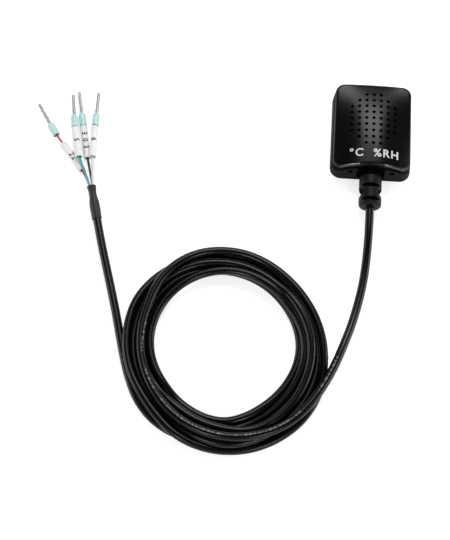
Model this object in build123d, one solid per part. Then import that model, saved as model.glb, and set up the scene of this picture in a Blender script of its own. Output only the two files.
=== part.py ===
from build123d import *

import os
from math import pi, radians, sqrt, tan

# Dew point sensor: a small two-part moulded case with a grille, lying on its flat back, a slotted
# strain relief boot, and a thin four-core cable that lies in a loose coil and ends in four ferrules.
# Millimetres, +Z up, origin at the middle of the case's flat back, the cable leaves towards -Y.

# Case
case_width = 35.2
case_length = 43.0
corner_radius = 5.0
inner_corner_radius = 0.4
draft_angle = 5.5
wall = 1.8
floor_thickness = 1.8
base_chamfer = 0.5

# Crown of the front cover, a patch whose control heights stand above its border, which rises from the
# cable's end to the far end
near_border_height = 7.0
far_border_height = 10.3
crown_margin = 1.0
ridge_heights = (6.4, 6.9, 4.9, 0.0)
flank_fullness = (1.0, 0.8, 0.5, 0.0)
rim_radius = 1.3

# Seam between the covers, which runs below the crown and has a shadow groove above it
cover_edge = 3.6
seam_gap = 0.05
reveal_height = 2.1
reveal_depth = 1.0

# Grille
grille_rows = (3, 5, 7, 7, 7, 7, 7, 5, 3)
grille_pitch = 3.1
grille_hole_diameter = 1.5
grille_middle = 2.3

# Latches: arms of the front cover whose noses catch in the end walls of the rear cover
latch_spacing = 18.0
latch_width = 4.0
latch_thickness = 1.0
latch_gap = 0.15
latch_reach = 0.9
window_width = 2.2
window_height = 1.9
near_window_height = 6.5
far_window_height = 3.6
latch_foot = 0.6

# Circuit board on posts, held down by posts of the front cover
board_side_gap = 2.0
board_near_gap = 8.4
board_thickness = 1.2
board_corner = 1.5
board_bottom = 3.4
post_inset_x = 3.0
post_inset_y = 4.0
post_diameter = 3.6
post_pin_diameter = 1.8
post_pin_length = 1.0
pin_clearance = 0.1
clamp_gap = 0.05

# Cable
cable_diameter = 3.5
core_diameter = 1.05
core_gap = 0.05
cable_height = 5.6
cable_inner_reach = 5.1

# Strain relief boot
boot_diameter = 9.75
boot_length = 14.4
boot_stand_off = 1.1
boot_edge_radius = 1.3
boot_neck_diameter = 8.0
opening_width = 11.9
opening_bottom = 2.0
grommet_inset = 1.4
grommet_gap = 0.1
grommet_top_gap = 0.3
flange_overlap = 0.75
flange_thickness = 1.4
slot_depth = 1.7
slot_mouth = 1.9
slot_floor = 0.9
side_slot_depth = 2.1
side_slot_mouth = 4.2
crosswise_slots = (5.6, 12.0)
sideways_slots = (8.4,)
rib_thickness = 1.2
rib_height = 8.0
rib_inner_half = 3.4
rib_gap = 0.15

# Coil
coil_middle = (-57.9, -104.0)
coil_half_width = 42.8
coil_half_length = 44.6
coil_hole_middle = (-57.7, -102.3)
coil_hole_half_width = 29.3
coil_hole_half_length = 30.7
coil_height = 7.8
coil_top_radius = 3.0
coil_foot_radius = 1.2
coil_gap = 0.1

# Heat-shrink sleeve: full over the jacket, waisted over the cores, flared at its mouth
sleeve_length = 15.9
sleeve_jacket_length = 8.4
sleeve_full_from = 4.0
sleeve_full_to = 7.6
sleeve_neck_place = 12.6
sleeve_edge_wall = 0.35
sleeve_full_wall = 0.45
sleeve_neck_wall = 0.28
sleeve_core_gap = 0.07
sleeve_flare = 0.33

# Marker sleeves and ferrules
marker_length = 15.8
marker_diameter = 3.3
marker_bore = 2.4
marker_sway = 0.25
collar_length = 6.6
collar_mouth_diameter = 3.3
collar_diameter = 3.2
collar_nose_diameter = 2.3
collar_nose_length = 1.2
collar_bore = 1.7
core_depth_in_collar = 4.6
pin_diameter = 1.5
pin_length = 11.0
pin_tip_radius = 0.35

# Component sizes on the board: length, width, height
sensor_chip_size = (3.0, 3.0, 1.1)
sensor_window_diameter = 1.4
sensor_window_depth = 0.4
controller_size = (5.0, 5.0, 0.9)
transceiver_size = (5.0, 3.9, 1.5)
transceiver_lead_reach = 1.05
transceiver_lead_pitch = 1.27
transceiver_lead_width = 0.42
transceiver_lead_thickness = 0.25
regulator_size = (4.5, 2.5, 1.5)
regulator_tab = (1.7, 0.9, 0.4)
diode_size = (4.3, 2.6, 2.1)
bulk_capacitor_size = (6.0, 3.2, 2.5)
chip_part_size = (1.6, 0.8, 0.6)
chip_part_pitch = 1.5
capacitor_count = 5
resistor_count = 6
solder_radius = 0.85
pad_pitch = 2.9
pad_edge = 3.15
core_straight = 2.1

# Places of components, or of the first of a row: across the board, and beyond the row of core pads
transceiver_place = (4.7, 4.75)
regulator_place = (-5.2, 3.75)
diode_place = (-0.2, 4.15)
capacitor_row_place = (5.2, 8.4)
resistor_row_place = (7.6, 8.4)

# Places of components: across the board, and beyond the grille's middle
controller_place = (-6.6, 0.9)
bulk_capacitor_place = (0.0, 8.4)

# Route of the lead from the boot to the coil, and of the tail from the coil to the sleeve
boot_end = -(case_length / 2 + boot_stand_off + boot_length)
lead_route = [
    (0.0, boot_end, cable_height),
    (0.0, -46.5, cable_height),
    (-0.4, -58.5, 3.0),
    (-1.6, -71.5, 1.75),
    (-5.0, -87.0, 1.75),
    (-9.0, -99.5, 2.5),
    (-13.3, -110.2, 5.2),
    (-18.8, -121.4, 5.6),
]
tail_route = [
    (-102.2, -97.2, 1.75),
    (-104.5, -89.5, 1.75),
    (-109.7, -72.5, 1.75),
    (-114.6, -56.5, 2.25),
    (-118.7, -41.0, 2.25),
]

# Each core: its lane in the bundle, the foot of its marker, the mouth of its collar, and a point
# that its ferrule points at
core_layout = {
    "red": ((-1, -1), (-125.6, -25.8, 1.7), (-138.9, -9.4, 1.7), (-148.2, 4.9, 1.7)),
    "teal": ((-1, 1), (-127.3, -21.2, 4.9), (-131.0, -5.6, 3.0), (-134.1, 11.6, 1.0)),
    "black": ((1, -1), (-124.0, -19.9, 1.7), (-127.5, -4.3, 1.7), (-131.4, 12.8, 1.7)),
    "white": ((1, 1), (-121.4, -20.5, 4.5), (-122.2, -4.3, 2.9), (-122.6, 13.2, 1.2)),
}

# Sizes worked out from the ones above
draft = tan(radians(draft_angle))
block_top = far_border_height + max(ridge_heights) + crown_margin
board_width = case_width - 2 * (wall + board_side_gap)
board_length = case_length - 2 * wall - board_side_gap - board_near_gap
board_shift = (board_near_gap - board_side_gap) / 2
board_top = board_bottom + board_thickness
post_spacing_x = board_width - 2 * post_inset_x
post_spacing_y = board_length - 2 * post_inset_y
pad_row = board_shift - board_length / 2 + pad_edge
core_lane = (core_diameter + core_gap) / 2
bundle_radius = core_lane * sqrt(2) + core_diameter / 2
jacket_inner_end = -(case_length / 2 - cable_inner_reach)
flange_inset = wall + grommet_gap
flange_back = flange_inset + flange_thickness


def outline_block(inset, bottom=0.0):
    """Drafted block of the case's plan outline, moved inwards by inset."""
    def outline(height):
        step = inset + height * draft
        corner = max(corner_radius - step, inner_corner_radius)
        return Pos(0, 0, height) * RectangleRounded(case_width - 2 * step, case_length - 2 * step, corner)
    return loft([outline(bottom), outline(block_top)], ruled=True)


def below_crown(drop):
    """All that lies below the crown's surface, lowered by drop."""
    half_x = case_width / 2 + crown_margin
    half_y = case_length / 2 + crown_margin
    last_row = len(ridge_heights) - 1
    net = []
    for row, (ridge, fullness) in enumerate(zip(ridge_heights, flank_fullness)):
        y = half_y * (2 * row / last_row - 1)
        flank = ridge * fullness
        # Halfway along a fourth-degree curve, each flank control has 4 and the middle one 6 of 16 shares
        middle = (16 * ridge - 2 * 4 * flank) / 6
        heights = (0.0, flank, middle, flank, 0.0)
        base = near_border_height + (far_border_height - near_border_height) * row / last_row - drop
        net.append([(half_x * (column / 2 - 1), y, base + rise) for column, rise in enumerate(heights)])
    return Solid.extrude(Face.make_bezier_surface(net), (0, 0, -2 * block_top))


def slab(width, bottom, top, side):
    """A block of the given width from bottom to top, over one end of the case."""
    return Pos(0, side * case_length / 2, (bottom + top) / 2) * Box(width, case_length, top - bottom)


def case_body():
    """The closed outer form of the case with its rounded rim and chamfered back edge."""
    body = outline_block(0) & below_crown(0)
    body = fillet(body.faces().sort_by(Axis.Z)[-1].edges(), rim_radius)
    return chamfer(body.faces().sort_by(Axis.Z)[0].edges(), base_chamfer)


def post_places():
    """Middles of the four board posts."""
    return [Pos(x, y + board_shift) for x, y in
            [(sx * post_spacing_x / 2, sy * post_spacing_y / 2) for sx in (-1, 1) for sy in (-1, 1)]]


def window_block(x, side, height, trim):
    """A block the size of a latch window, made smaller by trim all round."""
    size = (window_width - 2 * trim, case_length, window_height - 2 * trim)
    return Pos(x, side * case_length / 2, height) * Box(*size)


def latch(x, side, height, body):
    """One latch arm with its root in the cover's wall and its nose in the window."""
    low = height - window_height / 2 - latch_foot
    inner = outline_block(wall + latch_gap + latch_thickness)
    column = Pos(x, 0, 0) * slab(latch_width, low, block_top, side)
    arm = column & (outline_block(wall + latch_gap) - inner)
    root = (column & (outline_block(wall / 2) - inner)) - below_crown(cover_edge - seam_gap)
    nose = window_block(x, side, height, latch_gap) & (outline_block(wall - latch_reach) - inner)
    return (arm + root + nose) & body


def latch_places():
    """Place across, end and height of each latch."""
    return [(sx * latch_spacing / 2, side, height) for sx in (-1, 1)
            for side, height in ((-1, near_window_height), (1, far_window_height))]


def grille_holes():
    """Drills for the grille: rows of three, five and seven holes on a square pitch."""
    drill = Cylinder(grille_hole_diameter / 2, 2 * block_top)
    rows = len(grille_rows)
    return [Pos((column - (count - 1) / 2) * grille_pitch,
                grille_middle + ((rows - 1) / 2 - row) * grille_pitch, block_top) * drill
            for row, count in enumerate(grille_rows) for column in range(count)]


def front_cover(body):
    """Crowned shell with a grille, a shadow groove over the seam, latch arms and clamping posts."""
    cavity = outline_block(wall) & below_crown(wall)
    shell = body - below_crown(cover_edge - seam_gap) - cavity
    shell -= below_crown(cover_edge - reveal_height) - outline_block(reveal_depth)
    for place in latch_places():
        shell += latch(*place, body)
    clamp_bottom = board_top + clamp_gap
    clamp_length = block_top - clamp_bottom
    clamp = Pos(0, 0, clamp_bottom + clamp_length / 2) * Cylinder(post_diameter / 2, clamp_length)
    bore_top = board_top + post_pin_length + clamp_gap
    bore = Pos(0, 0, bore_top / 2) * Cylinder(post_pin_diameter / 2 + pin_clearance, bore_top)
    for place in post_places():
        shell += (place * clamp) & body
    shell -= [place * bore for place in post_places()]
    return shell - grille_holes()


def rear_cover(body):
    """Drafted tray with board posts, latch windows and pockets, the boot's notch and its two ribs."""
    tray = (body & below_crown(cover_edge)) - outline_block(wall, floor_thickness)
    for x, side, height in latch_places():
        cut = window_block(x, side, height, 0)
        if side > 0:
            cut &= outline_block(wall - latch_reach - latch_gap)
        tray -= cut
    post_height = board_bottom - floor_thickness
    post = Pos(0, 0, floor_thickness + post_height / 2) * Cylinder(post_diameter / 2, post_height)
    pin_height = board_top + post_pin_length - floor_thickness
    post += Pos(0, 0, floor_thickness + pin_height / 2) * Cylinder(post_pin_diameter / 2, pin_height)
    for place in post_places():
        tray += place * post
    tray -= slab(opening_width, opening_bottom, block_top, -1) - outline_block(flange_back)
    rib_face = flange_back + rib_gap
    behind_flange = outline_block(rib_face) - outline_block(rib_face + rib_thickness)
    rib_outer_half = opening_width / 2 + flange_overlap
    ribs = slab(2 * rib_outer_half, floor_thickness, rib_height, -1)
    ribs -= slab(2 * rib_inner_half, floor_thickness, rib_height, -1)
    return tray + (ribs & behind_flange)


def along_y(radius, start, end):
    """A rod along Y at the cable's height, between two places."""
    rod = Rot(90, 0, 0) * Cylinder(radius, abs(end - start))
    return Pos(0, (start + end) / 2, cable_height) * rod


def boot_slot(place, turn, depth, opening):
    """A wedge that cuts one flex slot, place along the boot's barrel, turned about its axis."""
    radius = boot_diameter / 2
    floor = radius - depth
    mouth = radius + depth
    spread = slot_floor + (opening - slot_floor) * (mouth - floor) / depth
    outline = Polyline((-slot_floor / 2, floor), (slot_floor / 2, floor), (spread / 2, mouth),
                       (-spread / 2, mouth), close=True)
    wedge = extrude(Plane.YZ * make_face(outline), boot_diameter, both=True)
    start = -(case_length / 2 + boot_stand_off)
    return Pos(0, start - place, cable_height) * Rot(0, turn, 0) * wedge


def strain_relief_boot():
    """Round barrel with crossed flex slots, and a grommet with a flange behind the end wall."""
    barrel_start = -(case_length / 2 + boot_stand_off)
    barrel = along_y(boot_diameter / 2, barrel_start, boot_end)
    barrel = fillet(barrel.edges().filter_by(GeomType.CIRCLE), boot_edge_radius)
    barrel -= [boot_slot(place, turn, slot_depth, slot_mouth)
               for place in crosswise_slots for turn in (0, 180)]
    barrel -= [boot_slot(place, turn, side_slot_depth, side_slot_mouth)
               for place in sideways_slots for turn in (90, 270)]
    grommet_bottom = opening_bottom + grommet_gap
    behind = outline_block(flange_back)
    plug = slab(opening_width - 2 * grommet_gap, grommet_bottom, block_top, -1)
    flange = slab(opening_width + 2 * flange_overlap, grommet_bottom, block_top, -1)
    plug &= outline_block(grommet_inset) - behind
    flange &= outline_block(flange_inset) - behind
    grommet = (plug + flange) & below_crown(cover_edge + grommet_top_gap)
    neck = along_y(boot_neck_diameter / 2, barrel_start - boot_edge_radius, -(case_length / 2 - wall))
    neck = (neck - behind) & slab(case_width, grommet_bottom, block_top, -1)
    bore = along_y(cable_diameter / 2, 2 * boot_end, 0)
    return barrel + neck + grommet - bore


def circuit_board():
    """Board with rounded corners and a hole for each post pin."""
    board = extrude(RectangleRounded(board_width, board_length, board_corner), board_thickness)
    board = Pos(0, board_shift, board_bottom) * board
    drill = Pos(0, 0, board_bottom) * Cylinder(post_pin_diameter / 2 + pin_clearance, 4 * board_thickness)
    return board - [place * drill for place in post_places()]


def package(size):
    """A moulded chip body that stands on the board, with a chamfered top."""
    length, width, height = size
    body = Pos(0, 0, board_top + height / 2) * Box(length, width, height)
    return chamfer(body.faces().sort_by(Axis.Z)[-1].edges(), height / 8)


def beyond_pads(place):
    """A place on the board, measured from the row of core pads."""
    return Pos(place[0], pad_row + place[1])


def beside_grille(place):
    """A place on the board, measured from the grille's middle."""
    return Pos(place[0], grille_middle + place[1])


def humidity_sensor():
    """Sensing chip under the grille, with an open window over its polymer film."""
    top = board_top + sensor_chip_size[2]
    window = Pos(0, 0, top) * Cylinder(sensor_window_diameter / 2, 2 * sensor_window_depth)
    return beside_grille((0, 0)) * (package(sensor_chip_size) - window)


def bus_transceiver():
    """Eight-lead package with flat feet on two sides."""
    width = transceiver_size[1]
    chip = package(transceiver_size)
    foot_size = (transceiver_lead_width, width + 2 * transceiver_lead_reach, transceiver_lead_thickness)
    foot = Pos(0, 0, board_top + transceiver_lead_thickness / 2) * Box(*foot_size)
    for lead in range(4):
        chip += Pos((lead - 1.5) * transceiver_lead_pitch, 0, 0) * foot
    return beyond_pads(transceiver_place) * chip


def voltage_regulator():
    """Three-lead regulator with its feet along one side."""
    width = regulator_size[1]
    chip = package(regulator_size)
    tab_width, tab_reach, tab_height = regulator_tab
    for lead in (-1, 0, 1):
        foot = Box(tab_height, width + tab_reach, tab_height)
        chip += Pos(lead * tab_width, tab_reach / 2, board_top + tab_height / 2) * foot
    return beyond_pads(regulator_place) * chip


def chip_row(count, place):
    """A row of small two-ended chip parts, as separate solids."""
    chip = Pos(0, 0, board_top + chip_part_size[2] / 2) * Box(*chip_part_size)
    first = beyond_pads(place)
    return Compound([first * Pos(0, step * chip_part_pitch) * chip for step in range(count)])


def cord_tube(name, points, diameter, arc_share=0.45):
    """A round cord along straight runs joined by tangent arcs that take arc_share of the shorter run."""
    places = [Vector(*point) for point in points]
    runs = [end - start for start, end in zip(places, places[1:])]
    radii = []
    for before, after in zip(runs, runs[1:]):
        half_turn = radians(before.get_angle(after)) / 2
        radii.append(arc_share * min(before.length, after.length) / tan(half_turn))
    path = FilletPolyline(*places, radius=radii)
    tube = sweep(Plane(origin=path @ 0, z_dir=path % 0) * Circle(diameter / 2), path=path)
    expected = pi * diameter ** 2 / 4 * path.length
    print(f"{name}: length {path.length:.1f}, radii {[round(radius, 1) for radius in radii]}, "
          f"volume {tube.volume:.1f} of {expected:.1f}")
    return tube


def inner_core_points(side, level):
    """Route of one core from the jacket's end inside the case down to its pad on the board."""
    pad_x = side * pad_pitch * (1.5 if level > 0 else 0.5)
    rest = board_top + core_diameter / 2
    start = Vector(side * core_lane, jacket_inner_end, cable_height + level * core_lane)
    pad = Vector(pad_x, pad_row, rest)
    straight = Vector(0, core_straight, 0)
    return [start, start + straight, pad - straight, pad]


def solder_joint(core_end):
    """A mound of solder on the board, against the end of a core."""
    size = 2 * solder_radius
    mound = Pos(core_end.X, core_end.Y, board_top) * Sphere(solder_radius)
    kept = Pos(core_end.X, core_end.Y + solder_radius, board_top + solder_radius) * Box(size, size, size)
    return mound & kept


def coil(margin):
    """Outer form of the loose coil: a low oval ring with a rounded top, made larger by margin."""
    outer = Pos(*coil_middle) * Ellipse(coil_half_width + margin, coil_half_length + margin)
    hole = Pos(*coil_hole_middle) * Ellipse(coil_hole_half_width - margin, coil_hole_half_length - margin)
    ring = extrude(outer - hole, coil_height + margin)
    ring = fillet(ring.faces().sort_by(Axis.Z)[-1].edges(), coil_top_radius)
    return fillet(ring.faces().sort_by(Axis.Z)[0].edges(), coil_foot_radius)


def turned(profile_points, bore_points):
    """A body turned about Z from its outer points up and its bore points back down."""
    outline = Polyline(*profile_points, *reversed(bore_points), close=True)
    return revolve(Plane.XZ * make_face(outline), Axis.Z)


def shrink_sleeve():
    """Sleeve shrunk over the jacket's end and the cores, waisted and open at its mouth."""
    jacket = cable_diameter / 2
    bundle = bundle_radius + sleeve_core_gap
    mouth = bundle + sleeve_flare
    skin = Spline((jacket + sleeve_edge_wall, 0), (jacket + sleeve_full_wall, sleeve_full_from),
                  (jacket + sleeve_full_wall, sleeve_full_to), (bundle + sleeve_neck_wall, sleeve_neck_place),
                  (mouth + sleeve_edge_wall, sleeve_length))
    inside = Polyline(skin @ 1, (mouth, sleeve_length), (bundle, sleeve_neck_place),
                      (bundle, sleeve_jacket_length), (jacket, sleeve_jacket_length), (jacket, 0), skin @ 0)
    return revolve(Plane.XZ * make_face(skin + inside), Axis.Z)


def marker_sleeve():
    """Short white tube that carries a core's mark."""
    outer = Cylinder(marker_diameter / 2, marker_length)
    return Pos(0, 0, marker_length / 2) * (outer - Cylinder(marker_bore / 2, marker_length))


def ferrule_collar():
    """Moulded collar, widest at the core's mouth and tapered to a nose on the pin."""
    shoulder = collar_length - collar_nose_length
    bore = collar_bore / 2
    pin = pin_diameter / 2
    barrel = collar_diameter / 2
    skin = [(collar_mouth_diameter / 2, 0), (barrel, shoulder / 2), (barrel, shoulder),
            (collar_nose_diameter / 2, collar_length)]
    hollow = [(bore, 0), (bore, core_depth_in_collar), (pin, collar_length)]
    return turned(skin, hollow)


def ferrule_pin():
    """Tinned tube with a rounded tip, flared inside its collar."""
    rod = Pos(0, 0, collar_length + pin_length / 2) * Cylinder(pin_diameter / 2, pin_length)
    rod = fillet(rod.edges().sort_by(Axis.Z)[-1], pin_tip_radius)
    flare_length = collar_length - core_depth_in_collar
    flare = Cone(collar_bore / 2, pin_diameter / 2, flare_length)
    return rod + Pos(0, 0, core_depth_in_collar + flare_length / 2) * flare


def towards(start, end):
    """A plane at start whose Z axis points at end."""
    start = Vector(*start)
    return Plane(origin=start, x_dir=Vector(0, 0, 1), z_dir=Vector(*end) - start)


body = case_body()
parts = {
    "front_cover": front_cover(body),
    "rear_cover": rear_cover(body),
    "strain_relief_boot": strain_relief_boot(),
    "circuit_board": circuit_board(),
    "humidity_sensor": humidity_sensor(),
    "microcontroller": beside_grille(controller_place) * package(controller_size),
    "bus_transceiver": bus_transceiver(),
    "voltage_regulator": voltage_regulator(),
    "protection_diode": beyond_pads(diode_place) * package(diode_size),
    "bulk_capacitor": beside_grille(bulk_capacitor_place) * package(bulk_capacitor_size),
    "ceramic_capacitors": chip_row(capacitor_count, capacitor_row_place),
    "chip_resistors": chip_row(resistor_count, resistor_row_place),
    "cable_inner_end": along_y(cable_diameter / 2, boot_end, jacket_inner_end),
}

inner_cores = []
solder = []
for side in (-1, 1):
    for level in (-1, 1):
        route = inner_core_points(side, level)
        inner_cores.append(cord_tube(f"inner core {side} {level}", route, core_diameter))
        solder.append(solder_joint(route[-1]))
parts["inner_core_ends"] = Compound(inner_cores)
parts["solder_joints"] = Compound(solder)

coil_room = coil(coil_gap)
parts["cable_coil"] = coil(0.0)
parts["cable_lead"] = cord_tube("lead", lead_route, cable_diameter) - coil_room
parts["cable_tail"] = cord_tube("tail", tail_route, cable_diameter) - coil_room

jacket_end = Vector(*tail_route[-1])
along = (jacket_end - Vector(*tail_route[-2])).normalized()
across = along.cross(Vector(0, 0, 1))
sleeve_start = jacket_end - along * sleeve_jacket_length
mouth = sleeve_start + along * sleeve_length
parts["shrink_sleeve"] = towards(sleeve_start, jacket_end) * shrink_sleeve()

for colour, (lane, foot, neck, aim) in core_layout.items():
    offset = across * (lane[0] * core_lane) + Vector(0, 0, lane[1] * core_lane)
    foot = Vector(*foot)
    neck = Vector(*neck)
    pointing = (Vector(*aim) - neck).normalized()
    middle = (foot + neck) / 2 + Vector(0, 0, marker_sway)
    route = [jacket_end + offset, mouth + along * core_diameter + offset, foot, middle, neck,
             neck + pointing * core_depth_in_collar]
    parts[f"core_{colour}"] = cord_tube(f"{colour} core", route, core_diameter)
    parts[f"marker_sleeve_{colour}"] = towards(foot, neck) * marker_sleeve()
    ferrule_plane = towards(neck, neck + pointing)
    parts[f"ferrule_collar_{colour}"] = ferrule_plane * ferrule_collar()
    parts[f"ferrule_pin_{colour}"] = ferrule_plane * ferrule_pin()

os.makedirs("parts", exist_ok=True)
for name, part in parts.items():
    export_step(part, f"parts/{name}.step")
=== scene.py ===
"""Looks of a dew point sensor: a vented case, a slotted boot, and a coiled cable with ferrules."""

import logging
import math
from dataclasses import dataclass, field
from enum import Enum
from functools import cache

import bpy
import numpy as np
from mathutils import Matrix, Vector


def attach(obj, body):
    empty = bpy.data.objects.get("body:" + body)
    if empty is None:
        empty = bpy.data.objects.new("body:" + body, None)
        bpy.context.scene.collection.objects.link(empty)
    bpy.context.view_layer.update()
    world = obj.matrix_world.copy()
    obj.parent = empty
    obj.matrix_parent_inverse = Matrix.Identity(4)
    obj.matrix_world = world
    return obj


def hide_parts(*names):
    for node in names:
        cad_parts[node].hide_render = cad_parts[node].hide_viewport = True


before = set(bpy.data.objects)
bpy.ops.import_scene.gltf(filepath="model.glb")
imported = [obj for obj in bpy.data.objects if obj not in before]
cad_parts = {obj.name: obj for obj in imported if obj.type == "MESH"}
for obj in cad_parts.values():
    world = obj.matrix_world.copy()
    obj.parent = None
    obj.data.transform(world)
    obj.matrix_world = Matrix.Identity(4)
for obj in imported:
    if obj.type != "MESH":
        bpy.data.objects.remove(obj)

MM = 0.001
CAD_WELD = 0.001 * MM
RING_WELD = 0.0005 * MM
# A faceted section is drawn this much larger than its circle, so that it is as thick on average.
FACET_ALLOWANCE = 1.0145
SPLINE_ORDER = 3
SPLINE_STEPS = 6
BODY = "root"
UP = Vector((0.0, 0.0, 1.0))
WHITE = (1.0, 1.0, 1.0)
# The last two points of the jacket's line, in millimetres; the shrink sleeve lies along them.
JACKET_NECK = (-114.6, -56.5, 2.25)
JACKET_END = (-118.7, -41.0, 2.25)
LOG = logging.getLogger("dew_point_sensor")


class Core(Enum):
    """The four cores of the cable, by the colour of their insulation."""

    RED = "red"
    TEAL = "teal"
    BLACK = "black"
    WHITE = "white"


class NodeSheet:
    """A material's node tree, with short ways to add and join nodes."""

    def __init__(self, name: str) -> None:
        """Starts a material.

        Args:
            name: the material's name.
        """
        self.material = bpy.data.materials.new(name)
        self.material.use_nodes = True
        self.tree = self.material.node_tree
        self.shader = self.tree.nodes["Principled BSDF"]

    def add(self, kind: str, inputs: dict | None = None, **settings: object) -> bpy.types.Node:
        """Adds a node.

        Args:
            kind: the node's type.
            inputs: values or sockets for its inputs, by name or number.
            **settings: properties of the node.

        Returns:
            The new node.
        """
        node = self.tree.nodes.new(kind)
        for key, value in settings.items():
            setattr(node, key, value)
        for key, value in (inputs or {}).items():
            self.set(node.inputs[key], value)
        return node

    def set(self, socket: bpy.types.NodeSocket, value: object) -> None:
        """Joins a socket to another one, or gives it a value."""
        if isinstance(value, bpy.types.NodeSocket):
            self.tree.links.new(value, socket)
        else:
            socket.default_value = value

    def noise(self, coords: bpy.types.NodeSocket, width: float, detail: float) -> bpy.types.NodeSocket:
        """Adds a noise whose features are about width metres wide.

        Args:
            coords: the coordinates that it reads.
            width: size of its features in metres.
            detail: how many finer octaves it has.

        Returns:
            The noise's value.
        """
        inputs = {"Vector": coords, "Scale": 1.0 / width, "Detail": detail}
        return self.add("ShaderNodeTexNoise", inputs).outputs["Fac"]

    def calc(self, operation: str, *values: object) -> bpy.types.NodeSocket:
        """Works out one value from others, which are sockets or numbers."""
        return self.add("ShaderNodeMath", dict(enumerate(values)), operation=operation).outputs[0]

    def spread(self, value: bpy.types.NodeSocket, low: float, high: float,
               start: float = 0.3, end: float = 0.7) -> bpy.types.NodeSocket:
        """Maps a value between start and end onto a range from low to high."""
        inputs = {"Value": value, "From Min": start, "From Max": end, "To Min": low, "To Max": high}
        return self.add("ShaderNodeMapRange", inputs).outputs["Result"]

    def blend(self, factor: object, first: object, second: object) -> bpy.types.NodeSocket:
        """Mixes two colours by a factor, through the colour sockets of a mix node."""
        node = self.add("ShaderNodeMix", data_type="RGBA")
        for socket, value in zip((node.inputs[0], node.inputs[6], node.inputs[7]), (factor, first, second)):
            self.set(socket, value)
        return node.outputs[2]


def opaque(colour: tuple[float, float, float], share: float = 1.0) -> tuple[float, float, float, float]:
    """A colour with its brightness scaled and full alpha."""
    return (*(min(share * part, 1.0) for part in colour), 1.0)


@dataclass(frozen=True)
class Finish:
    """A surface with slow cloudiness in its colour and a fine grain in its roughness and relief.

    Lengths are in metres: cloud and grain are widths of features, relief is the grain's height, and
    scatter is how far light goes under the skin. Contrast and swing are shares of colour and roughness.
    """

    name: str
    slot: str
    colour: tuple[float, float, float]
    roughness: float
    contrast: float = 0.15
    swing: float = 0.12
    cloud: float = 0.006
    grain: float = 0.0003
    relief: float = 0.000004
    metallic: float = 0.0
    specular: float = 0.5
    subsurface: float = 0.0
    scatter: float = 0.0012
    transmission: float = 0.0

    @cache
    def material(self) -> bpy.types.Material:
        """Makes the material once.

        Returns:
            The finished material.
        """
        sheet = NodeSheet(self.name)
        coords = sheet.add("ShaderNodeTexCoord").outputs["Object"]
        cloud = sheet.noise(coords, self.cloud, detail=4.0)
        grain = sheet.noise(coords, self.grain, detail=3.0)
        dark = opaque(self.colour, 1.0 - self.contrast)
        light = opaque(self.colour, 1.0 + self.contrast)
        colour = sheet.blend(sheet.spread(cloud, 0.0, 1.0), dark, light)
        smooth = (1.0 - self.swing) * self.roughness
        rough = (1.0 + self.swing) * self.roughness
        bump = sheet.add("ShaderNodeBump", {"Height": grain, "Distance": self.relief})
        for key, value in {
            "Base Color": self.decorate(sheet, colour),
            "Roughness": sheet.spread(grain, smooth, rough),
            "Normal": bump.outputs["Normal"],
            "Metallic": self.metallic,
            "Specular IOR Level": self.specular,
            "Subsurface Weight": self.subsurface,
            "Subsurface Radius": (self.scatter,) * 3,
            "Transmission Weight": self.transmission,
        }.items():
            sheet.set(sheet.shader.inputs[key], value)
        return sheet.material

    def decorate(self, sheet: NodeSheet, colour: bpy.types.NodeSocket) -> bpy.types.NodeSocket:
        """Gives the colour that the surface shows; a plain finish has no marks on it."""
        return colour


@dataclass(frozen=True)
class PrintedJacket(Finish):
    """A cable jacket with a worn row of pale dashes that faces up on the lead, then winds out of sight.

    Places are shares: line of the way round, the others of the length. Edges are the two values of a
    noise between which its marks fade in.
    """

    print_colour: tuple[float, float, float] = (0.14, 0.14, 0.14)
    dashes: float = 1000.0
    dashes_per_word: float = 9.0
    dash_edges: tuple[float, float] = (0.48, 0.54)
    word_edges: tuple[float, float] = (0.42, 0.5)
    line: float = 0.22
    line_width: float = 0.07
    starts_at: float = 0.035
    turns_from: float = 0.115
    turns_to: float = 0.16

    def decorate(self, sheet: NodeSheet, colour: bpy.types.NodeSocket) -> bpy.types.NodeSocket:
        """Lays the dashes over the jacket's colour.

        Args:
            sheet: the material's nodes.
            colour: the bare jacket's colour.

        Returns:
            The colour with the dashes.
        """
        place = sheet.add("ShaderNodeSeparateXYZ", {"Vector": sheet.add("ShaderNodeUVMap").outputs["UV"]})
        along, around = place.outputs["X"], place.outputs["Y"]
        half_turn = 0.5
        wound = sheet.spread(along, self.line, self.line + half_turn, self.turns_from, self.turns_to)
        aside = sheet.calc("WRAP", sheet.calc("SUBTRACT", around, wound), half_turn, -half_turn)
        on_line = sheet.calc("LESS_THAN", sheet.calc("ABSOLUTE", aside), self.line_width / 2)
        dashes = self.marks(sheet, along, self.dashes, detail=2.0, edges=self.dash_edges)
        word_count = self.dashes / self.dashes_per_word
        words = self.marks(sheet, along, word_count, detail=1.0, edges=self.word_edges)
        begun = sheet.calc("GREATER_THAN", along, self.starts_at)
        ink = sheet.calc("MULTIPLY", sheet.calc("MULTIPLY", dashes, words), begun)
        shown = sheet.calc("MULTIPLY", ink, on_line)
        return sheet.blend(shown, colour, opaque(self.print_colour))

    @staticmethod
    def marks(sheet: NodeSheet, along: bpy.types.NodeSocket, count: float, detail: float,
              edges: tuple[float, float]) -> bpy.types.NodeSocket:
        """Makes a row of marks of uneven length.

        Args:
            sheet: the material's nodes.
            along: the place along the cable.
            count: about how many marks there are on the whole length.
            detail: how worn their ends are.
            edges: values of the noise between which a mark fades in.

        Returns:
            One on a mark and nought between marks.
        """
        inputs = {"W": along, "Scale": count, "Detail": detail}
        noise = sheet.add("ShaderNodeTexNoise", inputs, noise_dimensions="1D")
        return sheet.spread(noise.outputs["Fac"], 0.0, 1.0, *edges)


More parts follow.
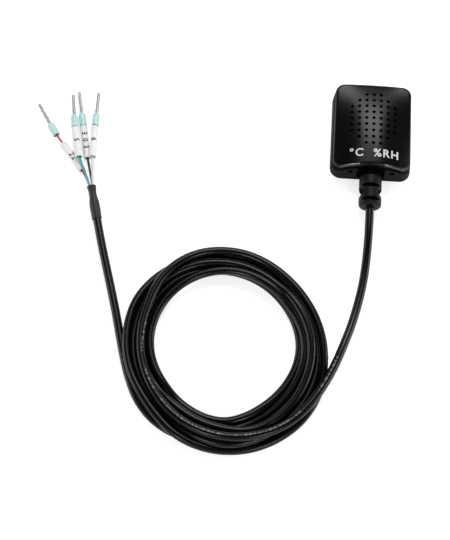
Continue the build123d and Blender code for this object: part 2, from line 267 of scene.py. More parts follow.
CASE_PLASTIC = Finish("case_plastic", "case_plastic", (0.0018, 0.0018, 0.002), 0.27, relief=0.000002,
                      specular=0.2)
RUBBED_LIP = Finish("rubbed_lip", "case_plastic", (0.004, 0.004, 0.0042), 0.22, relief=0.000002, specular=1.0)
TRAY_PLASTIC = Finish("tray_plastic", "case_plastic", (0.0022, 0.0022, 0.0024), 0.7, relief=0.000006,
                      specular=0.13)
# Painted shade: a matt black rubber, made darker than the boot, on the plug face in the case's opening and
# inside the slots, where shadow falls.
PAINTED_SHADE_RUBBER = Finish("painted_shade_rubber", "boot_rubber", (0.0012, 0.0012, 0.0013), 0.8, relief=0.00001,
                        specular=0.03)
BOOT_PLASTIC = Finish("boot_plastic", "boot_rubber", (0.0022, 0.0022, 0.0024), 0.5, grain=0.0004,
                      relief=0.000006, specular=0.17)
JACKET = PrintedJacket("cable_jacket", "cable_jacket", (0.0015, 0.0015, 0.0017), 0.27, grain=0.0012,
                       relief=0.000002, specular=0.25)
SHRINK = Finish("heat_shrink", "heat_shrink", (0.0055, 0.0055, 0.006), 0.55, grain=0.0005, relief=0.00002)
MARKER_TUBE = Finish("marker_tube", "marker_white", (0.88, 0.88, 0.88), 0.42, contrast=0.03, cloud=0.004,
                     relief=0.000006, subsurface=0.15)
COLLAR = Finish("collar_plastic", "collar_aqua", (0.58, 0.84, 0.82), 0.3, contrast=0.06, cloud=0.002,
                subsurface=0.35, transmission=0.12)
TIN = Finish("tinned_copper", "tinned_copper", (0.40, 0.40, 0.395), 0.5, contrast=0.12, cloud=0.0012,
             grain=0.00018, relief=0.000008, metallic=0.7)
INK = Finish("black_ink", "marker_white", (0.02, 0.025, 0.025), 0.5, grain=0.0001)
SILVER_INK = Finish("silver_ink", "case_plastic", (0.62, 0.63, 0.62), 0.5, contrast=0.12, cloud=0.0008,
                    grain=0.0001)
CORE_FINISH = {
    Core.RED: Finish("red_core", "core_red", (0.52, 0.055, 0.095), 0.36, contrast=0.08),
    Core.TEAL: Finish("teal_core", "core_teal", (0.06, 0.38, 0.37), 0.36, contrast=0.08),
    Core.BLACK: Finish("black_core", "core_black", (0.01, 0.01, 0.01), 0.36),
    Core.WHITE: Finish("white_core", "core_white", (0.74, 0.74, 0.74), 0.36, contrast=0.04),
}
BOARD_MASK = Finish("solder_mask", "board_green", (0.012, 0.12, 0.045), 0.35, contrast=0.25, cloud=0.003)
CHIP_EPOXY = Finish("chip_epoxy", "chip_black", (0.02, 0.02, 0.02), 0.6, grain=0.0001)
CAPACITOR = Finish("capacitor_ceramic", "capacitor_tan", (0.42, 0.29, 0.17), 0.5)
SENSOR_CAP = Finish("sensor_cap", "sensor_white", (0.6, 0.6, 0.58), 0.5)
SOLDER = Finish("solder", "solder", (0.6, 0.6, 0.6), 0.25, metallic=1.0)

INNER_FINISH = {
    "circuit_board": BOARD_MASK,
    "humidity_sensor": SENSOR_CAP,
    "microcontroller": CHIP_EPOXY,
    "bus_transceiver": CHIP_EPOXY,
    "voltage_regulator": CHIP_EPOXY,
    "protection_diode": CHIP_EPOXY,
    "bulk_capacitor": CAPACITOR,
    "ceramic_capacitors": CAPACITOR,
    "chip_resistors": CHIP_EPOXY,
    "inner_core_ends": CORE_FINISH[Core.WHITE],
    "solder_joints": SOLDER,
    "cable_inner_end": JACKET,
}


def activate(obj: bpy.types.Object) -> None:
    """Makes an object the only selected one and the active one."""
    bpy.ops.object.select_all(action="DESELECT")
    obj.select_set(True)
    bpy.context.view_layer.objects.active = obj


def dress(obj: bpy.types.Object, finish: Finish, *nodes: str) -> bpy.types.Object:
    """Gives a new piece its finish and body, and lets it stand for CAD nodes.

    Args:
        obj: the new piece, in place.
        finish: its finish.
        *nodes: the CAD nodes that it stands for.

    Returns:
        The same piece.
    """
    obj.data.materials.clear()
    obj.data.materials.append(finish.material())
    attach(obj, BODY)
    if nodes:
        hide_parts(*nodes)
    LOG.info("piece %s in %s for %s", obj.name, finish.name, ", ".join(nodes) or "nothing else")
    return obj


def smooth_copy(node: str, name: str, angle: float) -> bpy.types.Object:
    """Copies a CAD node, joins its loose triangles and smooths it up to an angle.

    Args:
        node: the CAD node.
        name: the new piece's name.
        angle: edges sharper than this many degrees stay sharp.

    Returns:
        The new piece.
    """
    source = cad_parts[node]
    obj = bpy.data.objects.new(name, source.data.copy())
    bpy.context.scene.collection.objects.link(obj)
    activate(obj)
    bpy.ops.object.mode_set(mode="EDIT")
    bpy.ops.mesh.select_all(action="SELECT")
    bpy.ops.mesh.remove_doubles(threshold=CAD_WELD)
    bpy.ops.object.mode_set(mode="OBJECT")
    if obj.data.has_custom_normals:
        bpy.ops.mesh.customdata_custom_splitnormals_clear()
    bpy.ops.object.shade_smooth_by_angle(angle=math.radians(angle))
    return obj


@dataclass(frozen=True)
class Ring:
    """One ring of a turned piece, in millimetres; across is its width sideways as a share of its radius."""

    height: float
    radius: float
    across: float = 1.0
    aside: float = 0.0


def turned(name: str, rings: list[Ring], segments: int, hollow: bool) -> bpy.types.Object:
    """Turns a piece about Z: a circle is extruded from ring to ring.

    Args:
        name: the piece's name.
        rings: the rings in order, in millimetres; a hollow piece's last ring meets its first.
        segments: sides of each ring.
        hollow: whether the rings close on themselves; otherwise both ends are filled.

    Returns:
        The new piece, standing at the origin.
    """
    bpy.ops.object.select_all(action="DESELECT")
    first = rings[0]
    bpy.ops.mesh.primitive_circle_add(vertices=segments, radius=first.radius * MM,
                                      fill_type="NOTHING" if hollow else "NGON")
    obj = bpy.context.object
    obj.name = obj.data.name = name
    bpy.ops.object.mode_set(mode="EDIT")
    bpy.ops.mesh.select_all(action="SELECT")
    bpy.ops.transform.translate(value=(0, 0, first.height * MM))
    for before, ring in zip(rings, rings[1:]):
        move = Vector((0, ring.aside - before.aside, ring.height - before.height)) * MM
        bpy.ops.mesh.extrude_region_move(TRANSFORM_OT_translate={"value": move})
        growth = ring.radius / before.radius
        bpy.ops.transform.resize(value=(growth, growth * ring.across / before.across, 1),
                                 center_override=(0, ring.aside * MM, ring.height * MM))
    bpy.ops.mesh.select_all(action="SELECT")
    bpy.ops.mesh.remove_doubles(threshold=RING_WELD)
    bpy.ops.mesh.normals_make_consistent(inside=False)
    bpy.ops.object.mode_set(mode="OBJECT")
    return obj


def soften(obj: bpy.types.Object, width: float, angle: float = 35.0, segments: int = 2) -> None:
    """Rounds a piece's sharp edges and smooths the rest.

    Args:
        obj: the piece.
        width: the bevel's width in millimetres.
        angle: edges sharper than this many degrees are rounded.
        segments: the bevel's steps.
    """
    activate(obj)
    bevel = obj.modifiers.new("edge_bevel", "BEVEL")
    bevel.width = width * MM
    bevel.segments = segments
    bevel.limit_method = "ANGLE"
    bevel.angle_limit = math.radians(angle)
    bpy.ops.object.modifier_apply(modifier=bevel.name)
    bpy.ops.object.shade_smooth_by_angle(angle=math.radians(angle))


def flat_text(name: str, body: str, size: float, weight: float, spacing: float,
              cuts: int) -> bpy.types.Object:
    """Makes flat text as a fine mesh about the origin, ready to be bent onto a surface.

    Args:
        name: the piece's name.
        body: what it says.
        size: the font's size in millimetres.
        weight: how far its outlines are moved out, in millimetres.
        spacing: the distance between characters as a share of the font's own.
        cuts: how many times each edge is cut.

    Returns:
        The text.
    """
    bpy.ops.object.select_all(action="DESELECT")
    bpy.ops.object.text_add()
    text = bpy.context.object
    text.name = name
    text.data.body = body
    text.data.align_x = "CENTER"
    text.data.align_y = "CENTER"
    text.data.size = size * MM
    text.data.offset = weight * MM
    text.data.space_character = spacing
    bpy.ops.object.convert(target="MESH")
    bpy.ops.object.mode_set(mode="EDIT")
    bpy.ops.mesh.select_all(action="SELECT")
    bpy.ops.mesh.quads_convert_to_tris()
    bpy.ops.mesh.subdivide(number_cuts=cuts)
    bpy.ops.object.mode_set(mode="OBJECT")
    return text


def axes_towards(direction: Vector) -> Matrix:
    """A turn whose Z axis lies along a direction and whose X axis points up."""
    along = direction.normalized()
    side = along.cross(UP).normalized()
    top = side.cross(along)
    return Matrix((top, side, along)).transposed().to_4x4()


def seat(obj: bpy.types.Object, foot: Vector, direction: Vector) -> None:
    """Sets a turned piece down at foot, along a direction, with its place in its mesh."""
    activate(obj)
    obj.matrix_world = Matrix.Translation(foot * MM) @ axes_towards(direction)
    bpy.ops.object.transform_apply(location=True, rotation=True, scale=True)


def smooth_values(places: np.ndarray, values: np.ndarray, at: np.ndarray) -> np.ndarray:
    """Runs a smooth curve through stations.

    Args:
        places: the stations' places, rising.
        values: the values there.
        at: the places to read.

    Returns:
        The curve's values at those places.
    """
    slopes = np.gradient(values, places)
    index = np.clip(np.searchsorted(places, at, side="right") - 1, 0, len(places) - 2)
    span = places[index + 1] - places[index]
    t = (at - places[index]) / span
    start = (1 + 2 * t) * (1 - t) ** 2 * values[index] + t * (1 - t) ** 2 * span * slopes[index]
    end = t ** 2 * (3 - 2 * t) * values[index + 1] - t ** 2 * (1 - t) * span * slopes[index + 1]
    return start + end


def cord_curve(name: str, points: list[Vector], diameter: float, roundness: int) -> bpy.types.Object:
    """Makes a round cord on one smooth spline.

    Args:
        name: the cord's name.
        points: the route's points in millimetres.
        diameter: the cord's diameter in millimetres.
        roundness: the bevel resolution of its round section.

    Returns:
        The cord as a curve.
    """
    curve = bpy.data.curves.new(name, "CURVE")
    curve.dimensions = "3D"
    curve.bevel_depth = diameter / 2 * MM * FACET_ALLOWANCE
    curve.bevel_resolution = roundness
    curve.resolution_u = SPLINE_STEPS
    curve.use_fill_caps = True
    spline = curve.splines.new("NURBS")
    spline.points.add(len(points) - 1)
    for control, point in zip(spline.points, points):
        control.co = (*(point * MM), 1.0)
    spline.order_u = SPLINE_ORDER
    spline.use_endpoint_u = True
    obj = bpy.data.objects.new(name, curve)
    bpy.context.scene.collection.objects.link(obj)
    return obj


@dataclass
class Case:
    """The two covers, with a printed unit mark on the front one. Sizes in millimetres, angles in degrees.

    The lip is the part of the front cover's cable end whose faces lean by at least lip_lean.
    """

    mark: str = "°C  %RH"
    mark_height: float = 5.0
    mark_weight: float = 0.12
    mark_spacing: float = 1.2
    mark_cuts: int = 5
    mark_place: tuple[float, float] = (0.6, -14.9)
    mark_drop: float = 30.0
    mark_lift: float = 0.03
    smooth_angle: float = 32.0
    lip_start: float = -18.0
    lip_lean: float = 0.25
    lip_span: tuple[float, float] = (5.3, 14.0)
    covers: dict[str, bpy.types.Object] = field(default_factory=dict)

    def build(self) -> None:
        """Makes both covers and the mark."""
        for node, finish in (("front_cover", CASE_PLASTIC), ("rear_cover", TRAY_PLASTIC)):
            self.covers[node] = dress(smooth_copy(node, f"{node}_skin", self.smooth_angle), finish, node)
        self.rub_lip()
        self.print_mark()

    def rub_lip(self) -> None:
        """Makes the front cover's walls matt and the lip over the boot polished, as a rubbed edge is."""
        cover = self.covers["front_cover"]
        for finish in (TRAY_PLASTIC, RUBBED_LIP):
            cover.data.materials.append(finish.material())
        wall, lip = 1, 2
        for face in cover.data.polygons:
            leans = face.normal.y < -self.lip_lean and face.normal.z > self.lip_lean
            aside = self.lip_span[0] * MM < abs(face.center.x) < self.lip_span[1] * MM
            if leans and aside and face.center.y < self.lip_start * MM:
                face.material_index = lip
            elif face.normal.z < self.lip_lean:
                face.material_index = wall

    def print_mark(self) -> None:
        """Prints the unit mark: flat text, cut fine and pressed onto the crown."""
        text = flat_text("unit_mark", self.mark, self.mark_height, self.mark_weight, self.mark_spacing,
                         self.mark_cuts)
        text.location = Vector((*self.mark_place, self.mark_drop)) * MM
        bpy.ops.object.transform_apply(location=True, rotation=True, scale=True)
        press = text.modifiers.new("press", "SHRINKWRAP")
        press.target = self.covers["front_cover"]
        press.wrap_method = "PROJECT"
        press.use_project_z = True
        press.use_negative_direction = True
        press.use_positive_direction = False
        press.offset = self.mark_lift * MM
        bpy.ops.object.modifier_apply(modifier=press.name)
        dress(text, SILVER_INK)


@dataclass
class Boot:
    """The slotted strain relief boot, with painted shade on its plug face and inside its slots. Sizes in
    millimetres, angles in degrees.
    """

    edge: float = 0.2
    flatness: float = 1.0
    smooth_angle: float = 34.0
    barrel_start: float = -22.6
    barrel_end: float = -36.6
    axis_height: float = 5.6
    slot_floor: float = 4.4

    def build(self) -> bpy.types.Object:
        """Makes the boot from its CAD form.

        Returns:
            The boot.
        """
        obj = smooth_copy("strain_relief_boot", "slotted_boot", self.smooth_angle)
        bpy.ops.object.mode_set(mode="EDIT")
        bpy.ops.mesh.select_all(action="SELECT")
        bpy.ops.mesh.dissolve_limited(angle_limit=math.radians(self.flatness))
        bpy.ops.object.mode_set(mode="OBJECT")
        soften(obj, self.edge, self.smooth_angle)
        dress(obj, BOOT_PLASTIC, "strain_relief_boot")
        # Painted shade: the plug face next to the case and the faces inside the slots get the darker matt
        # rubber, which stands in for the shadow in the opening and the slots.
        obj.data.materials.append(PAINTED_SHADE_RUBBER.material())
        for face in obj.data.polygons:
            x, y, z = face.center / MM
            in_slot = y > self.barrel_end and math.hypot(x, z - self.axis_height) < self.slot_floor
            face.material_index = int(in_slot or y > self.barrel_start)
        return obj


@dataclass(frozen=True)
class Station:
    """A place on the coil: angle in degrees clockwise from +X, radius and height in millimetres."""

    angle: float
    radius: float
    height: float


@dataclass
class Cable:
    """The jacketed cable: a free lead, loose turns laid on each other, and a free tail.

    Sizes are in millimetres. The jacket is drawn fuller than its declared diameter by the share fullness.
    """

    diameter: float = 3.5
    fullness: float = 1.03
    roundness: int = 6
    coil_middle: tuple[float, float] = (-58.2, -103.0)
    stretch: float = 1.051
    points_per_turn: int = 24
    lead: tuple[tuple[float, float, float], ...] = (
        (0.0, -37.0, 5.6),
        (0.0, -46.5, 5.6),
        (-0.4, -58.5, 3.0),
        (-1.6, -71.5, 1.75),
        (-5.0, -87.0, 2.1),
        (-9.0, -99.5, 4.4),
    )
    tail: tuple[tuple[float, float, float], ...] = (
        (-96.9, -116.65, 1.75),
        (-100.4, -104.95, 1.75),
        (-104.5, -89.5, 1.75),
        (-109.7, -72.5, 1.75),
        JACKET_NECK,
        JACKET_END,
    )
    stations: tuple[Station, ...] = (
        # First turn, from the lead
        Station(9, 45.7, 6.5), Station(28, 42.8, 7.6), Station(44, 41.7, 7.8), Station(66, 39.3, 7.4),
        Station(90, 37.0, 6.6), Station(114, 35.3, 5.6), Station(135, 34.3, 5.25), Station(160, 34.0, 5.25),
        Station(180, 34.6, 5.25), Station(205, 35.7, 5.25), Station(225, 38.7, 5.25), Station(245, 40.1, 5.0),
        Station(270, 39.8, 4.0), Station(315, 38.6, 3.6),
        # Second turn
        Station(360, 41.4, 3.0), Station(390, 43.7, 2.0), Station(420, 42.8, 1.9), Station(450, 41.5, 2.6),
        Station(478, 40.5, 6.2), Station(495, 38.6, 6.9), Station(518, 39.4, 8.0), Station(540, 40.6, 8.0),
        Station(552, 41.1, 6.4), Station(565, 41.8, 3.6),
        Station(585, 41.0, 1.75), Station(630, 37.8, 1.75), Station(675, 37.0, 1.75),
        # Third turn
        Station(720, 39.2, 1.75), Station(748, 39.8, 2.9), Station(762, 39.6, 3.6), Station(778, 39.9, 4.2),
        Station(795, 40.0, 4.7), Station(808, 39.7, 5.1), Station(820, 38.3, 5.25), Station(855, 36.2, 4.1),
        Station(900, 37.9, 4.1), Station(925, 38.5, 4.1), Station(945, 37.8, 4.1), Station(990, 35.0, 4.1),
        Station(1035, 34.0, 4.1),
        # Fourth turn
        Station(1080, 36.4, 4.1), Station(1110, 36.8, 4.6), Station(1125, 36.9, 5.0),
        Station(1140, 36.8, 5.25), Station(1155, 35.7, 5.0), Station(1163, 34.3, 4.4),
        Station(1172, 33.3, 3.4), Station(1215, 31.4, 1.75), Station(1260, 34.2, 1.75),
        Station(1285, 35.0, 1.75), Station(1305, 35.0, 1.75), Station(1350, 32.5, 1.75),
        Station(1395, 31.3, 1.75),
        # Fifth turn
        Station(1440, 31.7, 1.75), Station(1470, 30.0, 1.75), Station(1485, 29.5, 1.75),
        Station(1500, 29.5, 1.75), Station(1515, 30.3, 1.75), Station(1528, 30.7, 1.75),
        Station(1545, 29.6, 1.75), Station(1575, 28.8, 1.75), Station(1620, 30.8, 4.0),
        Station(1665, 31.5, 4.1), Station(1710, 31.5, 4.1), Station(1755, 31.4, 4.1),
        # The way out to the tail
        Station(1800, 34.0, 3.6), Station(1830, 33.2, 1.75), Station(1845, 32.9, 1.75),
        Station(1860, 33.0, 1.75), Station(1874, 33.2, 1.75), Station(1883, 33.4, 1.75),
        Station(1891, 35.4, 1.75), Station(1905, 38.8, 1.75), Station(1920, 40.5, 1.75),
        Station(1945, 41.2, 1.75),
    )
    settle_steps: int = 400
    smooth_every: int = 4
    push: float = 0.25
    sink: float = 0.004

    @property
    def drawn_diameter(self) -> float:
        """The jacket's diameter as it is drawn."""
        return self.diameter * self.fullness

    def coil(self) -> list[Vector]:
        """Works out the coil's turns from its stations.

        Returns:
            The points of all turns, from the lead to the tail.
        """
        rows = [(station.angle, station.radius, station.height) for station in self.stations]
        angles, radii, heights = np.array(rows, float).T
        count = int((angles[-1] - angles[0]) / 360 * self.points_per_turn) + 1
        at = np.linspace(angles[0], angles[-1], count)
        radius = smooth_values(angles, radii, at)
        turn = np.radians(at)
        middle_x, middle_y = self.coil_middle
        flat = np.column_stack((middle_x + radius * np.cos(turn),
                                middle_y - self.stretch * radius * np.sin(turn)))
        height = self.settle(flat, smooth_values(angles, heights, at))
        return [Vector((*place, rise)) for place, rise in zip(flat, height)]

    def settle(self, flat: np.ndarray, height: np.ndarray) -> np.ndarray:
        """Lets turns that lie in each other push apart in height, and the rest sink to the floor.

        Args:
            flat: the points' places on the floor.
            height: their first heights.

        Returns:
            Their heights at rest.
        """
        order = np.arange(len(height))
        other_turn = np.abs(np.subtract.outer(order, order)) > self.points_per_turn / 2
        spacing = np.linalg.norm(flat[:, None] - flat[None], axis=2)
        need = np.sqrt(np.maximum(self.diameter ** 2 - spacing ** 2, 0)) * other_turn
        floor = self.drawn_diameter / 2 * FACET_ALLOWANCE
        height = np.maximum(height, floor)
        for step in range(self.settle_steps):
            rise = height[:, None] - height[None]
            short = np.maximum(need - np.abs(rise), 0) * (need > 0)
            push = np.where(rise >= 0, self.push, -self.push) * short
            height = height + push.sum(1) / np.maximum((short > 0).sum(1), 1)
            if step % self.smooth_every == 0:
                height[1:-1] = height[1:-1] / 2 + (height[:-2] + height[2:]) / 4
            height = np.maximum(height - self.sink, floor)
        return height

    def build(self) -> bpy.types.Object:
        """Makes the cable.

        Returns:
            The cable as one curve.
        """
        points = [Vector(point) for point in self.lead] + self.coil() + [Vector(point) for point in self.tail]
        obj = cord_curve("jacketed_cable", points, self.drawn_diameter, self.roundness)
        return dress(obj, JACKET, "cable_lead", "cable_coil", "cable_tail")


@dataclass
class ShrinkSleeve:
    """The heat-shrink sleeve on the jacket's end.

    Sizes are in millimetres; skin and bore are places along the sleeve from its start, with radii.
    """

    jacket_end: Vector = field(default_factory=lambda: Vector(JACKET_END))
    before_end: Vector = field(default_factory=lambda: Vector(JACKET_NECK))
    jacket_length: float = 8.4
    length: float = 15.9
    skin: tuple[tuple[float, float], ...] = (
        (0.0, 1.86), (0.12, 2.06), (0.6, 2.12), (2.0, 2.15), (4.0, 2.2), (6.0, 2.23), (7.6, 2.2), (8.6, 2.1),
        (10.0, 1.84), (11.4, 1.66), (12.6, 1.62), (13.6, 1.7), (14.6, 1.84), (15.4, 1.98), (15.9, 2.02),
    )
    bore: tuple[tuple[float, float], ...] = (
        (15.9, 1.68), (12.6, 1.36), (8.5, 1.36), (8.4, 1.76), (0.0, 1.76),
    )
    crumple: float = 0.09
    crumple_width: float = 2.2
    segments: int = 64
    smooth_angle: float = 50.0

    @property
    def along(self) -> Vector:
        """The way the sleeve points."""
        return (self.jacket_end - self.before_end).normalized()

    @property
    def start(self) -> Vector:
        """The sleeve's end on the jacket."""
        return self.jacket_end - self.along * self.jacket_length

    @property
    def mouth(self) -> Vector:
        """The middle of the sleeve's mouth."""
        return self.start + self.along * self.length

    def build(self) -> bpy.types.Object:
        """Makes the sleeve with a shrunken, slightly crumpled skin.

        Returns:
            The sleeve.
        """
        rings = [Ring(*place) for place in (*self.skin, *self.bore, self.skin[0])]
        obj = turned("shrink_sleeve_skin", rings, self.segments, hollow=True)
        activate(obj)
        clouds = bpy.data.textures.new("crumple", "CLOUDS")
        clouds.noise_scale = self.crumple_width * MM
        ripple = obj.modifiers.new("crumple", "DISPLACE")
        ripple.texture = clouds
        ripple.texture_coords = "LOCAL"
        ripple.strength = self.crumple * MM
        bpy.ops.object.modifier_apply(modifier=ripple.name)
        bpy.ops.object.shade_smooth_by_angle(angle=math.radians(self.smooth_angle))
        seat(obj, self.start, self.along)
        return dress(obj, SHRINK, "shrink_sleeve")


@dataclass(frozen=True)
class Crimp:
    """How the jaws bit a pin: how many times, the share of its radius left there, the shift aside."""

    bites: int
    depth: float
    sway: float


HARD_CRIMP = Crimp(6, 0.72, 0.14)
LIGHT_CRIMP = Crimp(4, 0.94, 0.02)


@dataclass
class CoreEnd:
    """One core with its marker and ferrule.

    Sizes and places are in millimetres. Rows of the collar are heights above its mouth with radii, rows of
    the tip are heights from the pin's end with radii. Edges of a bite are shares of the bites' pitch.
    """

    core: Core
    lane: tuple[int, int]
    foot: Vector
    neck: Vector
    aim: Vector
    number: str
    crimp: Crimp
    diameter: float = 1.05
    roundness: int = 5
    lane_step: float = 0.55
    marker_length: float = 15.8
    marker_radius: float = 1.65
    marker_bore: float = 1.2
    marker_sway: float = 0.25
    marker_edge: float = 0.08
    marker_steps: int = 8
    collar_length: float = 6.6
    collar_depth: float = 4.6
    collar_skin: tuple[tuple[float, float], ...] = (
        (0.0, 1.55), (0.1, 1.65), (0.5, 1.65), (1.6, 1.62), (2.7, 1.6), (5.1, 1.6), (5.4, 1.56), (5.8, 1.44),
        (6.3, 1.24), (6.5, 1.17), (6.6, 1.08),
    )
    collar_bore: tuple[tuple[float, float], ...] = ((6.6, 0.76), (4.6, 0.86), (1.0, 0.86), (0.0, 1.3))
    collar_angle: float = 50.0
    tube_segments: int = 48
    pin_length: float = 11.0
    pin_radius: float = 0.75
    pin_flare: float = 0.85
    pin_plain: float = 0.6
    pin_tip: tuple[tuple[float, float], ...] = (
        (-0.9, 0.75), (-0.2, 0.75), (-0.05, 0.71), (0.0, 0.62), (0.0, 0.5), (-0.25, 0.46), (-0.3, 0.2),
    )
    pin_angle: float = 40.0
    pin_segments: int = 40
    bite_start: float = 1.0
    bite_room: float = 2.2
    bite_edges: tuple[float, float, float] = (0.3, 0.55, 0.85)
    bite_width: float = 0.96
    between_width: float = 0.99
    digit_size: float = 3.3
    digit_weight: float = 0.1
    digit_spacing: float = 1.25
    digit_cuts: int = 4
    digit_place: float = 8.4
    digit_lift: float = 0.02

    @property
    def pointing(self) -> Vector:
        """The way the ferrule points."""
        return (self.aim - self.neck).normalized()

    def route(self, sleeve: ShrinkSleeve) -> list[Vector]:
        """The core's route from the jacket's end into its collar.

        Args:
            sleeve: the sleeve that it comes out of.

        Returns:
            The route's points.
        """
        across = sleeve.along.cross(UP)
        offset = across * (self.lane[0] * self.lane_step) + UP * (self.lane[1] * self.lane_step)
        middle = (self.foot + self.neck) / 2 + UP * self.marker_sway
        outside = sleeve.mouth + sleeve.along * self.diameter
        inside_collar = self.neck + self.pointing * self.collar_depth
        return [sleeve.jacket_end + offset, outside + offset, self.foot, middle, self.neck, inside_collar]

    def build(self, sleeve: ShrinkSleeve) -> None:
        """Args:
            sleeve: the sleeve that the core comes out of.
        """
        colour = self.core.value
        wire = cord_curve(f"insulated_core_{colour}", self.route(sleeve), self.diameter, self.roundness)
        dress(wire, CORE_FINISH[self.core], f"core_{colour}")
        marker = self.build_marker()
        collar = self.build_collar()
        pin = self.build_pin()
        number = self.build_number()

    def build_marker(self) -> bpy.types.Object:
        """Makes the marker tube with cut, slightly rounded ends.

        Returns:
            The marker.
        """
        step = self.marker_length / self.marker_steps
        outer = [Ring(step * count, self.marker_radius) for count in range(self.marker_steps + 1)]
        inner = [Ring(ring.height, self.marker_bore) for ring in reversed(outer)]
        rings = [*outer, *inner, outer[0]]
        obj = turned(f"marker_tube_{self.core.value}", rings, self.tube_segments, hollow=True)
        soften(obj, self.marker_edge)
        seat(obj, self.foot, self.neck - self.foot)
        return dress(obj, MARKER_TUBE, f"marker_sleeve_{self.core.value}")

    def build_collar(self) -> bpy.types.Object:
        """Makes the collar: a soft mouth, a straight barrel and a tapered nose on the pin.

        Returns:
            The collar.
        """
        rings = [Ring(*place) for place in (*self.collar_skin, *self.collar_bore, self.collar_skin[0])]
        obj = turned(f"collar_{self.core.value}", rings, self.tube_segments, hollow=True)
        activate(obj)
        bpy.ops.object.shade_smooth_by_angle(angle=math.radians(self.collar_angle))
        seat(obj, self.neck, self.pointing)
        return dress(obj, COLLAR, f"ferrule_collar_{self.core.value}")

    def build_pin(self) -> bpy.types.Object:
        """Makes the tinned pin: flattened by the crimping jaws, notched where they bit, hollow at its tip.

        Returns:
            The pin.
        """
        start = self.collar_length
        tip = start + self.pin_length
        rings = [Ring(self.collar_depth, self.pin_flare), Ring(start, self.pin_radius),
                 Ring(start + self.pin_plain, self.pin_radius)]
        pitch = (self.pin_length - self.bite_room) / self.crimp.bites
        for bite in range(self.crimp.bites):
            low = start + self.bite_start + bite * pitch
            side = self.crimp.sway if bite % 2 else -self.crimp.sway
            pressed = (self.pin_radius * self.crimp.depth, self.bite_width / self.crimp.depth, side)
            bitten, left, round_again = (low + edge * pitch for edge in self.bite_edges)
            rings += [Ring(low, self.pin_radius, self.between_width), Ring(bitten, *pressed),
                      Ring(left, *pressed), Ring(round_again, self.pin_radius, self.between_width)]
        rings += [Ring(tip + height, radius) for height, radius in self.pin_tip]
        obj = turned(f"pin_{self.core.value}", rings, self.pin_segments, hollow=False)
        activate(obj)
        bpy.ops.object.shade_smooth_by_angle(angle=math.radians(self.pin_angle))
        seat(obj, self.neck, self.pointing)
        return dress(obj, TIN, f"ferrule_pin_{self.core.value}")

    def build_number(self) -> bpy.types.Object:
        """Prints the core's number on its marker: flat text, cut fine and rolled round the tube.

        Returns:
            The number.
        """
        text = flat_text(f"core_number_{self.core.value}", self.number, self.digit_size, self.digit_weight,
                         self.digit_spacing, self.digit_cuts)
        radius = (self.marker_radius + self.digit_lift) * MM
        for vertex in text.data.vertices:
            reading, upward = vertex.co.x, vertex.co.y
            angle = upward / radius
            vertex.co = (radius * math.cos(angle), radius * math.sin(angle), self.digit_place * MM - reading)
        seat(text, self.foot, self.neck - self.foot)
        return dress(text, INK)


CORE_ENDS = (
    CoreEnd(Core.RED, (-1, -1), Vector((-125.6, -25.8, 1.7)), Vector((-138.9, -9.4, 1.7)),
            Vector((-148.2, 4.9, 1.7)), "22", HARD_CRIMP, digit_place=7.6),
    CoreEnd(Core.TEAL, (-1, 1), Vector((-127.3, -21.2, 4.9)), Vector((-131.0, -5.6, 3.0)),
            Vector((-134.1, 11.6, 1.0)), "5", LIGHT_CRIMP),
    CoreEnd(Core.BLACK, (1, -1), Vector((-124.0, -19.9, 1.7)), Vector((-127.5, -4.3, 1.7)),
            Vector((-131.4, 12.8, 1.7)), "3 0 3", LIGHT_CRIMP),
    CoreEnd(Core.WHITE, (1, 1), Vector((-121.4, -20.5, 4.5)), Vector((-122.2, -4.3, 2.9)),
            Vector((-122.6, 13.2, 1.2)), "6", LIGHT_CRIMP),
)


@dataclass(frozen=True)
class Softbox:
    """A rectangular soft lamp: its place and size in metres, and its power in watts."""

    name: str
    place: tuple[float, float, float]
    size: tuple[float, float]
    power: float


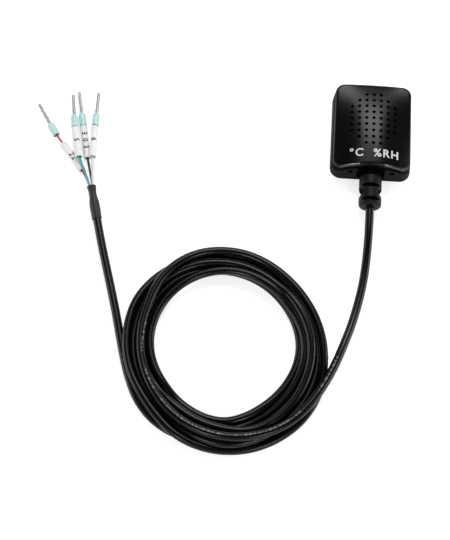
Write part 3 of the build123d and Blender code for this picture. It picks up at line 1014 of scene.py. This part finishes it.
@dataclass
class Studio:
    """A white floor, soft light and the photograph's camera. Sizes in metres, angles in degrees."""

    camera_place: tuple[float, float, float] = (-0.04668, -0.26223, 0.48214)
    camera_tilt: float = 22.0
    camera_turn: float = 3.95
    lens: float = 81.57
    sensor_width: float = 36.0
    clip_start: float = 0.01
    floor_size: float = 8.0
    floor_drop: float = 0.0002
    floor_glow: float = 0.62
    glow_start: float = 0.25
    glow_end: float = 0.8
    backdrop_height: float = 1.2
    backdrop_sides: int = 96
    paper_white: float = 0.8
    fill: float = 0.05
    lamp_target: tuple[float, float, float] = (-0.03, -0.05, 0.0)
    lamps: tuple[Softbox, ...] = (
        Softbox("far_softbox", (0.03, 0.63, 0.85), (0.6, 0.36), 6.6),
        Softbox("top_strip", (-0.04, 0.32, 1.02), (0.7, 0.15), 1.0),
        Softbox("near_softbox_left", (-0.4, -0.85, 0.66), (0.28, 0.22), 2.8),
        Softbox("low_softbox_left", (-0.75, -0.05, 0.19), (0.5, 0.25), 1.4),
        Softbox("near_softbox_right", (0.4, -0.85, 0.66), (0.28, 0.22), 2.8),
        Softbox("low_softbox_right", (0.65, -0.05, 0.19), (0.5, 0.25), 2.2),
    )

    def build(self) -> None:
        """Sets up the floor, the world, the lamps and the camera."""
        bpy.context.scene.view_settings.view_transform = "Standard"
        self.lay_floor()
        self.fill_world()
        for lamp in self.lamps:
            self.hang_lamp(lamp)
        self.stand_camera()

    def lay_floor(self) -> None:
        """Lays a white floor that takes shadows, with a low white backdrop round its rim."""
        bpy.ops.object.select_all(action="DESELECT")
        bpy.ops.mesh.primitive_plane_add(size=self.floor_size, location=(0, 0, -self.floor_drop))
        floor = bpy.context.object
        floor.name = "studio_floor"
        bpy.ops.mesh.primitive_cylinder_add(vertices=self.backdrop_sides, radius=self.floor_size / 2,
                                            depth=self.backdrop_height, end_fill_type="NOTHING",
                                            location=(0, 0, self.backdrop_height / 2 - self.floor_drop))
        backdrop = bpy.context.object
        backdrop.name = "studio_backdrop"
        bpy.ops.object.transform_apply(location=True, rotation=True, scale=True)
        paper = self.white_paper()
        for stage in (floor, backdrop):
            stage.data.materials.append(paper)

    def white_paper(self) -> bpy.types.Material:
        """Makes paper that is white to the eye and in reflections, and dims near the object to show shadows.

        Returns:
            The material.
        """
        sheet = NodeSheet("white_paper")
        sheet.tree.nodes.remove(sheet.shader)
        rays = sheet.add("ShaderNodeLightPath")
        seen = rays.outputs["Is Camera Ray"]
        for other in ("Is Glossy Ray", "Is Transmission Ray"):
            seen = sheet.calc("MAXIMUM", seen, rays.outputs[other])
        spot = sheet.add("ShaderNodeTexCoord").outputs["Object"]
        far = sheet.add("ShaderNodeVectorMath", {0: spot}, operation="LENGTH")
        level = sheet.spread(far.outputs["Value"], self.floor_glow, 1.0, self.glow_start, self.glow_end)
        strength = sheet.calc("MULTIPLY", seen, level)
        glow = sheet.add("ShaderNodeEmission", {"Color": opaque(WHITE), "Strength": strength})
        white = sheet.add("ShaderNodeBsdfDiffuse", {"Color": opaque(WHITE, self.paper_white)})
        both = sheet.add("ShaderNodeAddShader", {0: glow.outputs[0], 1: white.outputs[0]})
        sheet.set(sheet.tree.nodes["Material Output"].inputs["Surface"], both.outputs[0])
        return sheet.material

    def fill_world(self) -> None:
        """Gives the room a dim even fill."""
        world = bpy.data.worlds.new("studio_world")
        world.use_nodes = True
        bpy.context.scene.world = world
        background = world.node_tree.nodes["Background"]
        background.inputs["Color"].default_value = opaque(WHITE)
        background.inputs["Strength"].default_value = self.fill

    def hang_lamp(self, softbox: Softbox) -> None:
        """Hangs a soft lamp that faces the object and isn't seen by the camera.

        Args:
            softbox: the lamp to hang.
        """
        lamp = bpy.data.lights.new(softbox.name, "AREA")
        lamp.shape = "RECTANGLE"
        lamp.size, lamp.size_y = softbox.size
        lamp.energy = softbox.power
        obj = bpy.data.objects.new(softbox.name, lamp)
        obj.location = softbox.place
        facing = Vector(self.lamp_target) - Vector(softbox.place)
        obj.rotation_euler = facing.to_track_quat("-Z", "Y").to_euler()
        obj.visible_camera = False
        bpy.context.scene.collection.objects.link(obj)

    def stand_camera(self) -> None:
        """Stands the camera where the photograph was taken from."""
        camera = bpy.data.cameras.new("photo_camera")
        camera.lens = self.lens
        camera.sensor_width = self.sensor_width
        camera.clip_start = self.clip_start
        obj = bpy.data.objects.new("photo_camera", camera)
        obj.location = self.camera_place
        obj.rotation_euler = (math.radians(self.camera_tilt), 0.0, math.radians(self.camera_turn))
        bpy.context.scene.collection.objects.link(obj)
        bpy.context.scene.camera = obj


def dress_inside() -> None:
    """Gives the board and everything on it their finishes."""
    for node, finish in INNER_FINISH.items():
        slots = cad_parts[node].data.materials
        slots.clear()
        slots.append(finish.material())


def main() -> None:
    """Builds the studio and every piece in order."""
    logging.basicConfig(level=logging.INFO, format="%(name)s: %(message)s")
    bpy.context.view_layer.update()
    Studio().build()
    Case().build()
    boot = Boot().build()
    dress_inside()
    sleeve = ShrinkSleeve()
    sleeve_piece = sleeve.build()
    cable = Cable()
    jacket = cable.build()
    for core_end in CORE_ENDS:
        core_end.build(sleeve)


if __name__ == "__main__":
    main()
